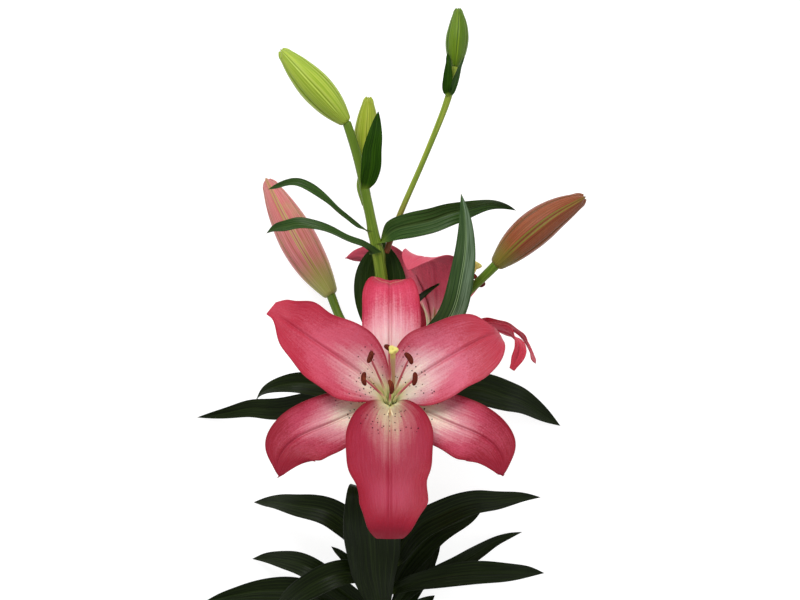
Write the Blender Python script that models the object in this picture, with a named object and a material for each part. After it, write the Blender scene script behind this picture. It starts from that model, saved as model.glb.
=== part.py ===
"""A cut lily: one leafy stem with two open blooms and five buds, lying on its back.

The stem runs along Y, from the cut end at -Y to the topmost bud at +Y. It lies on the plane z = 0 on
its cut end, on the rear bloom and on the tips of its lowest leaves. Points are in millimetres from the
foot of the front bloom; the whole flower is shifted at the end, so that the origin is the middle of
the bottom of its bounding box.

Every piece is one closed loft: rings of points from its root to its tip, with a pointed cap at each end.
"""

import math

import bmesh
import bpy
from mathutils import Matrix, Vector

MM = 0.001
GAP = 0.35  # free space between a piece and what carries it

# ---- Driving dimensions, in millimetres ----
STEM_RADIUS = 4.6
RECEPTACLE_RADIUS = 6.6
TEPAL_LENGTH = 106.0
TEPAL_THICKNESS = 1.1
OUTER_ROOT = 5.8  # from a bloom's axis to the root of an outer tepal
INNER_ROOT = 4.2
LEAF_THICKNESS = 0.9
LEAF_ROOT_HALF_WIDTH = 1.0
FILAMENT_ROOT = 2.2  # from a bloom's axis to the root of a filament
FILAMENT_RADIUS = 0.7
ANTHER_LENGTH = 9.5
ANTHER_RADIUS = 1.9
PISTIL_LENGTH = 64.0
REAR_ANTHERS_OUT = 10.0  # from the rear bloom's axis to its anthers
REAR_ANTHERS_UP = 54.0
TEPAL_LIFT = 0.4  # from the receptacle to the first ring of a tepal, besides the gap
SKIN_CAP = 0.15  # how far the point of a floral piece's root stands out of its first ring

FRONT_FOOT = Vector((4, 1, 90))
FRONT_LEAN = math.radians(20)  # the front bloom looks up and leans towards the buds
REAR_FOOT = Vector((31, 39, 54.4))
REAR_AXIS = Vector((32, 55, -9))

COLOURS = {  # base colour, roughness
    "stem": ((0.22, 0.36, 0.07), 0.5),
    "leaf": ((0.03, 0.09, 0.025), 0.45),
    "petal": ((0.72, 0.10, 0.19), 0.55),
    "green_bud": ((0.38, 0.52, 0.08), 0.5),
    "pink_bud": ((0.62, 0.22, 0.19), 0.5),
    "russet_bud": ((0.42, 0.20, 0.08), 0.5),
    "stamen": ((0.30, 0.03, 0.01), 0.85),
    "pistil": ((0.62, 0.60, 0.22), 0.5),
}


def clear_scene():
    for old in list(bpy.data.objects):
        bpy.data.objects.remove(old, do_unlink=True)


def make_materials():
    made = {}
    for name, (colour, roughness) in COLOURS.items():
        material = bpy.data.materials.new(name)
        material.use_nodes = True
        shader = material.node_tree.nodes["Principled BSDF"]
        shader.inputs["Base Color"].default_value = (*colour, 1)
        shader.inputs["Roughness"].default_value = roughness
        shader.inputs["Metallic"].default_value = 0
        made[name] = material
    return made


def empty_at(name, matrix, parent=None):
    """A parent for a group of pieces; its matrix is in metres."""
    empty = bpy.data.objects.new(name, None)
    bpy.context.scene.collection.objects.link(empty)
    empty.parent = parent
    empty.matrix_local = matrix
    return empty


# ---- Paths ----


def smooth_path(points, count):
    """count points, evenly spaced along a Catmull-Rom curve through the points."""
    points = [Vector(p) for p in points]
    ends = [points[0] * 2 - points[1]] + points + [points[-1] * 2 - points[-2]]
    fine, steps = [], 24
    for a, b, c, d in zip(ends, ends[1:], ends[2:], ends[3:]):
        for step in range(steps):
            t = step / steps
            fine.append(
                0.5 * ((2 * b) + (c - a) * t + (2 * a - 5 * b + 4 * c - d) * t * t
                       + (3 * b - a - 3 * c + d) * t * t * t)
            )
    fine.append(points[-1])
    reach = [0.0]
    for a, b in zip(fine, fine[1:]):
        reach.append(reach[-1] + (b - a).length)
    out, i = [], 0
    for k in range(count):
        want = reach[-1] * k / (count - 1)
        while i < len(reach) - 2 and reach[i + 1] < want:
            i += 1
        span = max(reach[i + 1] - reach[i], 1e-9)
        out.append(fine[i].lerp(fine[i + 1], min(1, (want - reach[i]) / span)))
    return out


def tangents(path):
    ends = [path[0], *path, path[-1]]
    return [(b - a).normalized() for a, b in zip(ends, ends[2:])]


def between(values, t):
    """The value at t, from 0 to 1, on a smooth curve through evenly spaced values."""
    place = min(max(t, 0.0), 1.0) * (len(values) - 1)
    i = min(int(place), len(values) - 2)
    u = place - i
    b, c = values[i], values[i + 1]
    a = values[i - 1] if i > 0 else 2 * b - c
    d = values[i + 2] if i + 2 < len(values) else 2 * c - b
    return 0.5 * (2 * b + (c - a) * u + (2 * a - 5 * b + 4 * c - d) * u**2 + (3 * b - a - 3 * c + d) * u**3)


# ---- Lofts ----


def loft(name, rings, root_pole, tip_pole, material, parent):
    """One closed skin over the rings, each end drawn to its pole. The rings are in millimetres."""
    mesh = bmesh.new()
    rows = [[mesh.verts.new(p * MM) for p in ring] for ring in rings]
    size = len(rings[0])
    for low, high in zip(rows, rows[1:]):
        for k in range(size):
            n = (k + 1) % size
            mesh.faces.new((low[k], low[n], high[n], high[k]))
    for row, pole in ((rows[0], root_pole), (rows[-1], tip_pole)):
        centre = mesh.verts.new(pole * MM)
        for k in range(size):
            mesh.faces.new((row[k], row[(k + 1) % size], centre))
    bmesh.ops.recalc_face_normals(mesh, faces=mesh.faces)
    data = bpy.data.meshes.new(name)
    mesh.to_mesh(data)
    mesh.free()
    data.materials.append(material)
    data.shade_smooth()
    piece = bpy.data.objects.new(name, data)
    bpy.context.scene.collection.objects.link(piece)
    piece.parent = parent
    return piece


def round_ring(centre, direction, side, radius, count, flatten=1.0):
    """A ring across direction; flatten scales it along the third axis."""
    side = (side - direction * side.dot(direction)).normalized()
    other = direction.cross(side)
    turns = [2 * math.pi * k / count for k in range(count)]
    return [centre + (side * math.cos(a) + other * math.sin(a) * flatten) * radius for a in turns]


def stalk(name, points, radii, material, parent, stations=8, sides=8, domes=(0.6, 0.6)):
    """A round stalk through the points, its radius read along radii, with a low dome at each end."""
    path = smooth_path(points, stations)
    heads = tangents(path)
    side = Vector((0, 0, 1)) if abs(heads[0].z) < 0.8 else Vector((1, 0, 0))
    rings = []
    for i, (centre, head) in enumerate(zip(path, heads)):
        side = (side - head * side.dot(head)).normalized()
        rings.append(round_ring(centre, head, side, between(radii, i / (stations - 1)), sides))
    return loft(name, rings, path[0] - heads[0] * domes[0], path[-1] + heads[-1] * domes[1], material, parent)


def blade_ring(centre, across, face, half_width, thickness, columns, cup, bend=0.0):
    """A lens-shaped ring: sharp at both edges, with columns points on each face between them.

    The blade follows an arc that turns by bend for each millimetre of its width, and its edges stand
    above that by cup times the half width."""
    straight = bend < 1e-6

    def at(u, skin):
        turn = bend * u * half_width
        side = u * half_width if straight else math.sin(turn) / bend
        rise = 0.0 if straight else (1 - math.cos(turn)) / bend
        rise += cup * half_width * u * u
        out = face * math.cos(turn) - across * math.sin(turn)
        return centre + across * side + face * rise + out * (skin * thickness / 2 * (1 - u * u) ** 0.5)

    stops = [-1 + 2 * k / (columns + 1) for k in range(columns + 2)]
    return [at(u, 1) for u in stops] + [at(u, -1) for u in reversed(stops[1:-1])]


# ---- Leaves ----


def leaf(name, points, half_width, material, parent, roll=(0, 0), widest=0.45, fold=0.25, stations=10):
    """A parallel-veined blade from points[0], at the stem, to its sharp tip.

    roll turns it about its own length, in degrees, at evenly spaced places; fold is how far its edges
    stand above its midrib, as a share of the half width."""
    path = smooth_path(points, stations + 1)
    heads = tangents(path)
    chord = path[-1] - path[0]
    sideways = Vector((-chord.y, chord.x, 0)).normalized()
    power = math.log(0.5) / math.log(widest)
    rings = []
    for i in range(stations):
        t = i / stations
        head = heads[i]
        across = (sideways - head * sideways.dot(head)).normalized()
        across = Matrix.Rotation(math.radians(between(roll, t)), 3, head) @ across
        face = head.cross(across)
        belly = math.sin(math.pi * t**power) ** 0.8 if t > 0 else 0.0
        width = half_width * (0.30 * (1 - t) ** 2 + 0.97 * belly)
        rings.append(
            blade_ring(path[i], across, face, max(width, LEAF_ROOT_HALF_WIDTH), LEAF_THICKNESS, 3, fold)
        )
    return loft(name, rings, path[0] - heads[0] * 0.4, path[-1], material, parent)


# ---- Buds ----

BUD_SIDES = 12
BUD_OUTLINE = (0.42, 0.78, 0.96, 1.0, 0.88, 0.66, 0.32)  # radius from foot to tip, as shares
BUD_LOBES = 0.05  # how far the three outer tepals stand out, as a share of the radius


def bud(name, points, radius, material, parent, stations=10):
    """A closed bud: three outer tepals that meet in shallow grooves, fat near its foot."""
    path = smooth_path(points, stations)
    heads = tangents(path)
    side = Vector((0, 0, 1)) if abs(heads[0].z) < 0.8 else Vector((1, 0, 0))
    rings = []
    for i, (centre, head) in enumerate(zip(path, heads)):
        t = i / (stations - 1)
        side = (side - head * side.dot(head)).normalized()
        other = head.cross(side)
        swell = between(BUD_OUTLINE, t) * radius
        ring = []
        for k in range(BUD_SIDES):
            angle = 2 * math.pi * k / BUD_SIDES
            reach = swell * (1 + BUD_LOBES * math.cos(3 * angle))
            ring.append(centre + (side * math.cos(angle) + other * math.sin(angle)) * reach)
        rings.append(ring)
    return loft(name, rings, path[0] - heads[0] * 0.3, path[-1] + heads[-1] * 1.2, material, parent)


# ---- Blooms: built about the local Z axis, with the receptacle's top at z = 0 ----

# Half widths from root to tip, as shares of the greatest one.
INNER_OUTLINE = (0.10, 0.22, 0.47, 0.78, 0.97, 1.0, 0.96, 0.88, 0.74, 0.48, 0.0)
OUTER_OUTLINE = (0.13, 0.28, 0.48, 0.72, 0.90, 0.99, 1.0, 0.94, 0.78, 0.50, 0.0)


def tepal(name, bloom, azimuth, outer, half_width, angles, material, sway=(0, 0), roll=(0, 0),
          cup=(0.0, 0.1, 0.18, 0.15), length=TEPAL_LENGTH, stations=12):
    """One of the six petal-like tepals, cupped around the bloom's axis where it is steep.

    angles are what its midrib makes with the axis, in degrees, at evenly spaced places from root to
    tip. Sway turns it sideways there, and roll turns it about its own length. The outer whorl stands
    around the foot of the inner one."""
    outline = OUTER_OUTLINE if outer else INNER_OUTLINE
    step = length / stations
    out = OUTER_ROOT if outer else INNER_ROOT
    spine = Matrix.Rotation(math.radians(azimuth), 3, "Z") @ Vector((out, 0, GAP + TEPAL_LIFT))
    root = spine - Vector((0, 0, SKIN_CAP))
    rings = []
    for i in range(stations):
        t = i / stations
        angle = math.radians(between(angles, t))
        turn = Matrix.Rotation(math.radians(azimuth + between(sway, t)), 3, "Z")
        head = turn @ Vector((math.sin(angle), 0, math.cos(angle)))
        across = Matrix.Rotation(math.radians(between(roll, t)), 3, head) @ turn @ Vector((0, 1, 0))
        face = head.cross(across)
        width = half_width * between(outline, t)
        bend = max(math.cos(angle), 0) / math.hypot(spine.x, spine.y)
        rings.append(blade_ring(spine, across, face, width, TEPAL_THICKNESS, 5, between(cup, t), bend))
        spine = spine + head * step
    return loft(name, rings, root, spine, material, bloom)


def stamen(name, bloom, azimuth, anther_at, anther_points, material):
    """A slender filament that widens at its top into the cross-bar of its anther.

    anther_at is the anther's middle, and anther_points the way its long side runs."""
    foot = Matrix.Rotation(math.radians(azimuth), 3, "Z") @ Vector((FILAMENT_ROOT, 0, GAP + 0.2))
    top = Vector(anther_at)
    rise = Vector((foot.x * 2.2, foot.y * 2.2, top.z * 0.45))
    path = smooth_path([foot, rise, top], 7)
    heads = tangents(path)
    long_side = Vector(anther_points)
    rings = []
    for centre, head in zip(path[:-1], heads[:-1]):
        rings.append(round_ring(centre, head, long_side, FILAMENT_RADIUS, 6))
    head = heads[-1]
    half = ANTHER_LENGTH / 2
    for up, reach in ((-1.0, 0.70), (0.3, 1.0), (1.7, 0.82), (2.7, 0.45)):
        flatten = ANTHER_RADIUS / half * (0.62 if reach < 0.6 else 1.0)
        rings.append(round_ring(top + head * up, head, long_side, half * reach, 6, flatten))
    return loft(name, rings, path[0] - heads[0] * SKIN_CAP, top + head * 3.3, material, bloom)


PISTIL_SIDES = 9
PISTIL_RADII = (1.15, 1.35, 1.3, 1.1, 1.05, 1.1, 1.25, 1.5, 2.3, 4.3)
STIGMA_LOBES = 0.18


def pistil(name, bloom, top, material):
    """The seed vessel, its long style and the three-lobed stigma."""
    bend = (top[0] * 0.35, top[1] * 0.35, 36)
    path = smooth_path([(0, 0, GAP + 0.2), (0, 0, 14), bend, top], len(PISTIL_RADII))
    heads = tangents(path)
    side = Vector((1, 0, 0))
    rings = []
    for i, (centre, head, radius) in enumerate(zip(path, heads, PISTIL_RADII)):
        side = (side - head * side.dot(head)).normalized()
        other = head.cross(side)
        lobe = STIGMA_LOBES if i == len(path) - 1 else 0.0
        ring = []
        for k in range(PISTIL_SIDES):
            angle = 2 * math.pi * k / PISTIL_SIDES
            reach = radius * (1 + lobe * math.cos(3 * angle))
            ring.append(centre + (side * math.cos(angle) + other * math.sin(angle)) * reach)
        rings.append(ring)
    return loft(name, rings, path[0] - heads[0] * SKIN_CAP, path[-1] + heads[-1] * 2.0, material, bloom)


def aim(foot, axis, top_side):
    """The matrix, in metres, of a bloom at foot that looks along axis, its local Y towards top_side."""
    axis = axis.normalized()
    side = (top_side - axis * top_side.dot(axis)).normalized()
    turn = Matrix((side.cross(axis), side, axis)).transposed().to_4x4()
    return Matrix.Translation(foot * MM) @ turn


NECK_LENGTH = 7.0
DISC_DOME = 0.2


def stalk_to_bloom(name, points, foot, axis, material, parent):
    """A flower stalk that flares into the receptacle, a flat disc under the bloom's foot."""
    axis = axis.normalized()
    neck = foot - axis * NECK_LENGTH
    radii = (2.6, 2.5, 2.5, 2.6, 2.9, 3.6, RECEPTACLE_RADIUS)
    top = foot - axis * DISC_DOME
    return stalk(name, [*points, neck, top], radii, material, parent, stations=9, domes=(0.6, DISC_DOME))


# ---- The flower, from the stem outwards ----

STEM_LINE = [(1, -325, 4.7), (-2, -240, 16), (-1, -150, 28), (0, -60, 39), (0, 20, 48), (-1, 70, 54),
             (-3.5, 98, 58), (-9, 121, 61), (-13, 144, 63), (-19, 171, 65), (-26, 189.8, 66.5)]
STEM_RADII = [STEM_RADIUS * share for share in (1.02, 1.02, 1, 1, 1, 1.04, 1.09, 1.13, 0.91, 0.72, 0.67)]

LEAVES = {  # name: points from stem to tip, half width, options
    "bract_top_bud": ([(43.2, 208.6, 63), (42.2, 214, 65), (42.8, 221, 65.8), (43.2, 229, 65.6),
                       (42.8, 237, 64.4)], 2.8, {"fold": 0.5, "widest": 0.35}),
    "bract_small_bud": ([(-12.6, 145, 67.4), (-9, 159, 73), (-8, 171, 75), (-6, 182, 76), (-4, 197, 74)],
                        6.2, {"widest": 0.42}),
    "leaf_upper_thin": ([(-11, 116, 63.4), (-28, 128, 70), (-37, 136, 74), (-47, 144, 76), (-58, 149, 75),
                         (-68, 148.5, 70), (-79, 145, 61)], 3.0, {"roll": (40, 35, -25), "widest": 0.6}),
    "leaf_upper_left": ([(-2.8, 102, 63.0), (-12, 107, 71), (-22, 110, 75), (-35, 116, 79), (-45, 119, 80),
                         (-57, 121, 78), (-65, 120, 75), (-73, 119, 70), (-80, 115, 64)],
                        5.0, {"roll": (0, 45, 60, 20, 0), "widest": 0.6}),
    "leaf_upper_right": ([(-1.2, 109.5, 62.8), (6, 117, 68), (17, 120, 73), (31, 123, 78), (45, 128, 81),
                          (57, 131, 80), (68, 134, 77), (78, 134, 72), (89, 130.5, 65)],
                         7.8, {"roll": (0, 0, 10, 45, 50), "widest": 0.38}),
    "leaf_upright": ([(3.5, 19, 52.8), (25, 39, 72), (43.5, 58, 85), (49.5, 77, 91), (52.5, 93, 94),
                      (54, 106, 95), (54, 118, 95), (53, 130, 94), (51, 141, 91)], 8.4, {"widest": 0.52}),
    "leaf_behind_stem": ([(-1, 32, 43.4), (-3, 60, 44), (-3, 87, 47), (-1, 111, 48)], 17.6, {"widest": 0.62}),
    "leaf_middle_left_high": ([(-5.3, 3, 43.8), (-20, 6, 46), (-37, 11, 48), (-53, 13, 49), (-63, 13, 48),
                               (-74, 11, 44), (-83, 8, 38), (-89, 1, 31)], 7.5, {"roll": (0, 0, 15, 30)}),
    "leaf_middle_left_low": ([(-5.8, -13, 41), (-24, -1, 42), (-43, 0, 39), (-59, -3, 33), (-75, -6, 24),
                              (-95, -6, 14), (-114, -10, 6), (-133, -13, 0)], 7.5, {}),
    "leaf_middle_right": ([(5.9, -9, 42), (31, 3, 46), (59, 10, 44), (82, 4, 34), (96, -1, 22), (109, -9, 11),
                           (124, -19, 0)], 10.5, {"widest": 0.50}),
    "leaf_lower_left": ([(-7.6, -110, 34), (-16, -94, 40), (-28, -82, 43), (-42, -74, 42), (-61, -72, 33),
                         (-77, -71, 18), (-93, -73, 0)], 9, {"widest": 0.36}),
    "leaf_centre": ([(-2.4, -145, 34), (-7, -118, 53), (-8, -95, 68), (-10, -73, 84), (-11, -58, 88),
                     (-12, -55, 76), (-13, -66, 64)], 18, {"widest": 0.56}),
    "leaf_lower_right_high": ([(5.5, -116, 36), (13, -98, 45), (24, -84, 52), (38, -76, 55), (56, -69, 52),
                               (69, -68, 45), (79, -68, 38), (95, -67, 26), (109, -68, 16)],
                              8.8, {"widest": 0.40}),
    "leaf_lower_right_inner": ([(6.3, -131, 31), (12, -117, 33), (24, -101, 34), (38, -89, 34), (56, -82, 28),
                                (68, -76, 20)], 8.8, {"widest": 0.45}),
    "leaf_lower_right_short": ([(5, -152, 25), (17, -132, 18), (30, -114, 12), (39, -102, 7)], 8.0, {}),
    "leaf_lower_right_slim": ([(5, -146, 29), (17, -131, 28), (35, -121, 26), (52, -113, 23), (67, -105, 16),
                               (81, -98, 8), (97, -94, 0)], 5.6, {}),
    "leaf_lower_right_low": ([(1.5, -133, 35), (15, -125, 46), (31, -120, 54), (48, -117, 55), (64, -116, 51),
                              (84, -117, 42), (99, -118, 32), (111, -120, 24)], 7.6, {"widest": 0.55}),
    "leaf_bottom_right": ([(5, -166, 25), (19, -150, 14), (35, -138, 6)], 7.0, {}),
    "leaf_lower_left_low": ([(-6.5, -147, 30), (-27, -133, 34), (-45, -119, 36), (-57, -113, 32),
                             (-70, -111, 22), (-83, -111, 10), (-94, -113, 0)], 7.8, {}),
    "leaf_lower_left_small": ([(-5.6, -131, 32.5), (-18, -119, 38), (-27, -108, 39), (-37, -100, 36)],
                              4.0, {}),
    "leaf_bottom_left": ([(-7.7, -160, 26), (-31, -142, 24), (-59, -134, 19), (-84, -134, 11),
                          (-106, -138, 5), (-129, -144, 0)], 9.5, {}),
    "leaf_bottom_left_near": ([(-5, -125, 35.5), (-22, -116, 49), (-37, -118, 54), (-51, -125, 52),
                               (-65, -136, 42), (-81, -154, 22)], 8.4, {"widest": 0.45}),
}

BUDS = {  # name: points from foot to tip, greatest radius, colour, stalk points, stalk radii
    "bud_green_left": ([(-26.7, 191.2, 66.6), (-41, 207.5, 69), (-55, 222.5, 71), (-69, 237.6, 71)], 10.9,
                       "green_bud", None, None),
    "bud_green_small": ([(-15, 158.2, 52), (-13, 172, 51.5), (-12, 189, 54), (-11, 207, 57)], 8.6,
                        "green_bud",
                        [(-13.5, 135, 57), (-17, 147, 53.4), (-15.3, 157.1, 52.1)], (2.0, 2.0, 2.2)),
    "bud_green_top": ([(48, 229, 60), (49, 243, 60), (50, 255, 60), (50, 267, 60)], 7.8, "green_bud",
                      [(1.2, 102.5, 57), (10, 127, 58), (23.5, 158, 58), (36.5, 189, 59), (44, 210, 60),
                       (47.8, 228, 60)], (2.1, 2.0, 1.9, 2.0, 2.3, 2.7)),
    "bud_pink": ([(-38, 75, 28), (-54.5, 101, 23), (-70, 129, 14.7), (-83, 154, 3.9)], 13.2, "pink_bud",
                 [(-6.5, 27, 46), (-22, 45, 38), (-31, 58, 33), (-37.6, 74.1, 28.3)], (2.8, 2.8, 3.2)),
    "bud_russet": ([(75.2, 94.2, 86), (92.5, 111, 88), (111.5, 126, 89), (132.6, 138, 88)], 12.0,
                   "russet_bud",
                   [(5.5, 35, 53), (21, 43, 61), (39, 57, 70), (54, 73, 77), (74.4, 93.3, 86)],
                   (2.9, 2.8, 2.8, 2.8, 3.2)),
}

FRONT_TEPALS = [  # name, azimuth, outer, half width, angles with the axis, options
    ("top", 90, True, 20, (9, 56, 76, 84, 140, 200), {}),
    ("upper_left", 152, False, 25.5, (5, 42, 66, 76, 84, 110), {"length": 112, "sway": (0, -1, -5, -9)}),
    ("upper_right", 26.5, False, 26.5, (5, 42, 66, 76, 100, 180), {"length": 102, "sway": (0, 0, 1, 3)}),
    ("lower_left", 213.5, True, 19.5, (9, 56, 78, 84, 92, 125), {"sway": (0, -3, -2, 78), "length": 108}),
    ("lower_right", 327, True, 19, (9, 56, 78, 84, 92, 125), {"sway": (0, 3, 2, -78), "length": 109}),
    ("bottom", 270, False, 28, (5, 42, 72, 82, 86, 190), {"length": 127}),
]

REAR_TEPALS = [
    ("left", 345, True, 16.5, (9, 52, 69, 82, 108, 138), {"roll": (0, 10, 34, 50), "length": 96}),
    ("near", 43, False, 23.5, (5, 38, 50, 58, 130, 200),
     {"length": 86, "sway": (0, 4, 6, 10), "roll": (0, 8, 16, 0)}),
    ("right_near", 166, True, 10.5, (9, 45, 66, 91, 154, 180), {"sway": (0, 0, -20, -60), "length": 85}),
    ("right", 192, False, 10.5, (5, 37, 61, 78, 122, 142), {"sway": (0, 0, -14, -50), "length": 89}),
    ("right_under", 257, True, 12.5, (9, 44, 74, 140, 200, 235), {"length": 90}),
    ("left_under", 291, False, 13, (5, 38, 74, 140, 200, 235), {"length": 94}),
]

FRONT_STAMENS = [  # azimuth of its foot, middle of the anther, the way the anther runs
    (90, (-0.5, 20.5, 51), (0.6, -0.75, 0.25)),
    (38, (12, 14, 52), (-0.4, 0.9, 0)),
    (142, (-12.5, 15, 52), (0.15, 1, 0)),
    (200, (-16, 1, 50), (-0.1, 1, 0)),
    (340, (15.5, 1, 50), (0.15, 1, 0)),
    (270, (0.5, -5, 52), (-0.15, 1, 0)),
]


def ring_of_stamens():
    """Six stamens evenly round the rear bloom's axis, as FRONT_STAMENS lists them."""
    ring = []
    for azimuth in range(30, 360, 60):
        x, y = math.cos(math.radians(azimuth)), math.sin(math.radians(azimuth))
        ring.append((azimuth, (x * REAR_ANTHERS_OUT, y * REAR_ANTHERS_OUT, REAR_ANTHERS_UP), (y, -x, 0.3)))
    return ring


def build_bloom(prefix, foot, axis, top_side, tepals, stamens, pistil_top, colours, parent):
    """Six tepals, six stamens and a pistil, all standing on one receptacle."""
    bloom = empty_at(f"{prefix}_bloom", aim(foot, axis, top_side), parent)
    petal = colours["petal"]
    for name, azimuth, outer, half_width, angles, options in tepals:
        tepal(f"{prefix}_tepal_{name}", bloom, azimuth, outer, half_width, angles, petal, **options)
    for number, (azimuth, anther_at, anther_points) in enumerate(stamens, 1):
        stamen(f"{prefix}_stamen_{number}", bloom, azimuth, anther_at, anther_points, colours["stamen"])
    pistil(f"{prefix}_pistil", bloom, pistil_top, colours["pistil"])


def rest_on_ground(root):
    """Moves the flower so that the origin is the middle of the bottom of its bounding box."""
    bpy.context.view_layer.update()
    corners = [o.matrix_world @ v.co for o in bpy.data.objects if o.type == "MESH" for v in o.data.vertices]
    low = Vector([min(c[i] for c in corners) for i in range(3)])
    high = Vector([max(c[i] for c in corners) for i in range(3)])
    root.location = (-(low.x + high.x) / 2, -(low.y + high.y) / 2, -low.z)


def main():
    clear_scene()
    colours = make_materials()
    lily = empty_at("lily", Matrix.Identity(4))
    stalk("stem", STEM_LINE, STEM_RADII, colours["stem"], lily, stations=20)

    front_axis = Vector((0, math.sin(FRONT_LEAN), math.cos(FRONT_LEAN)))
    stalk_to_bloom("front_bloom_stalk", [(0, -30, 49.2), (1, -23, 60)], FRONT_FOOT, front_axis,
                   colours["stem"], lily)
    build_bloom("front", FRONT_FOOT, front_axis, Vector((0, 1, 0)), FRONT_TEPALS, FRONT_STAMENS,
                (2, 16, PISTIL_LENGTH), colours, lily)

    stalk_to_bloom("rear_bloom_stalk", [(6.3, 14.7, 45.8), (16, 20, 47)], REAR_FOOT, REAR_AXIS,
                   colours["stem"], lily)
    build_bloom("rear", REAR_FOOT, REAR_AXIS, Vector((0, 0, 1)), REAR_TEPALS, ring_of_stamens(),
                (0, 4, PISTIL_LENGTH), colours, lily)

    for name, (points, radius, colour, stalk_points, stalk_radii) in BUDS.items():
        bud(name, points, radius, colours[colour], lily)
        if stalk_points:
            stalk(name.replace("bud_", "stalk_"), stalk_points, stalk_radii, colours["stem"], lily)
    for name, (points, half_width, options) in LEAVES.items():
        leaf(name, points, half_width, colours["leaf"], lily, **options)
    rest_on_ground(lily)


main()
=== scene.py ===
"""A cut lily laid on a pale table, seen from above. Each piece but one small leaf is grown over the rings of
a CAD node.
"""
import math

import bmesh
import bpy
import numpy as np
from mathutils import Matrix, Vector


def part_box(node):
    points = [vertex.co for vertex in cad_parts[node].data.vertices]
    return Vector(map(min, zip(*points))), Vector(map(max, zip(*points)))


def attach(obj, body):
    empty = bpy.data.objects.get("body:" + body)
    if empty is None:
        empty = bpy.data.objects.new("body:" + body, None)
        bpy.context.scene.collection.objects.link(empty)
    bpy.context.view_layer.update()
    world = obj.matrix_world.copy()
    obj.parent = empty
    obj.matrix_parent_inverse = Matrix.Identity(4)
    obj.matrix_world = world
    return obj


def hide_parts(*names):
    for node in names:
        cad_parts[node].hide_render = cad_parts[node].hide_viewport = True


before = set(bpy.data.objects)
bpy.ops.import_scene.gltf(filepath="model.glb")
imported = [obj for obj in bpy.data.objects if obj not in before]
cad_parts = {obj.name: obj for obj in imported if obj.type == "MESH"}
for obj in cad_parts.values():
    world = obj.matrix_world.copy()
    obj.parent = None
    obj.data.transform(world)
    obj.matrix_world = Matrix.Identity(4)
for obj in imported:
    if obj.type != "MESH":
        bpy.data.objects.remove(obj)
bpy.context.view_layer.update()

# ---- The table, the light and the camera ----
# A white board that is lit from within, as a light table is, so shadows on it stay faint. The light is a
# large soft lamp beyond the topmost bud, a weaker one on the right and an even white surround.
TABLE_DROP = 0.0004
EYE_PLACE = (0.0098, 0.0987)
EYE_HEIGHT = 1.5
VIEW_WIDTH = 0.5656  # what the picture takes in at the table, from side to side

bpy.ops.object.select_all(action="DESELECT")
bpy.ops.mesh.primitive_plane_add(size=8, location=(0, 0, -TABLE_DROP))
table = bpy.context.object
table.name = "table"
board = bpy.data.materials.new("white_board")
board.use_nodes = True
board_shader = board.node_tree.nodes["Principled BSDF"]
board_shader.inputs["Base Color"].default_value = (0.36, 0.36, 0.36, 1)
board_shader.inputs["Roughness"].default_value = 0.9
board_shader.inputs["Emission Color"].default_value = (1, 1, 1, 1)
board_shader.inputs["Emission Strength"].default_value = 0.80
table.data.materials.append(board)

surround = bpy.data.worlds.new("surround")
surround.use_nodes = True
surround.node_tree.nodes["Background"].inputs["Color"].default_value = (0.97, 0.98, 1, 1)
surround.node_tree.nodes["Background"].inputs["Strength"].default_value = 0.66
bpy.context.scene.world = surround
bpy.context.scene.view_settings.view_transform = "Standard"


def hang_lamp(name, place, aim, width, power):
    bpy.ops.object.light_add(type="AREA", location=place)
    lamp = bpy.context.object
    lamp.name = name
    lamp.data.size = width
    lamp.data.energy = power
    way = [b - a for a, b in zip(place, aim)]
    across = math.hypot(way[0], way[1])
    lamp.rotation_euler = (math.atan2(across, -way[2]), 0, math.atan2(-way[0], way[1]))


hang_lamp("key_lamp", (-0.35, 1.15, 1.15), (0, 0.05, 0.05), 0.9, 22)
hang_lamp("side_lamp", (1.1, 0.1, 0.9), (0, 0, 0.05), 0.6, 3.0)

bpy.ops.object.camera_add(location=(*EYE_PLACE, EYE_HEIGHT), rotation=(0, 0, 0))
eye = bpy.context.object
eye.name = "eye"
eye.data.sensor_width = 36
eye.data.lens = eye.data.sensor_width * EYE_HEIGHT / VIEW_WIDTH
eye.data.clip_end = 20
bpy.context.scene.camera = eye

# ---- The stem ----
# A round green stalk, about as thick as a pencil and a little woody, cut straight across at its lower
# end. Leaves and flower stalks grow out of small cushions on it.
MM = 0.001


def named(*starts):
    """The CAD nodes whose names start so, in the order of the alphabet."""
    return sorted(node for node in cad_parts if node.startswith(starts))


def rings_of(node, near):
    """The rings of points that the CAD node is lofted over, from the pole that lies nearest to near."""
    shell = bmesh.new()
    shell.from_mesh(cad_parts[node].data)
    bmesh.ops.remove_doubles(shell, verts=shell.verts, dist=1e-6)

    def fives(vertex):
        return sum(len(edge.other_vert(vertex).link_edges) == 5 for edge in vertex.link_edges)

    poles = sorted(shell.verts, key=fives)[-2:]
    level = [min(poles, key=lambda pole: min(math.dist(pole.co, point) for point in near))]
    seen, rings = set(level), []
    while level:
        ring = [level.pop()]
        while ring[-1] is not None:
            around = [e.other_vert(ring[-1]) for e in ring[-1].link_edges]
            ring.append(next((v for v in around if v in level), None))
            if ring[-1] is not None:
                level.remove(ring[-1])
        ring.pop()
        rings.append(np.array([v.co for v in ring], float))
        outward = {e.other_vert(v) for v in ring for e in v.link_edges} - seen
        seen |= outward
        level = sorted(outward, key=lambda v: tuple(v.co))
    shell.free()
    return rings


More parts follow.
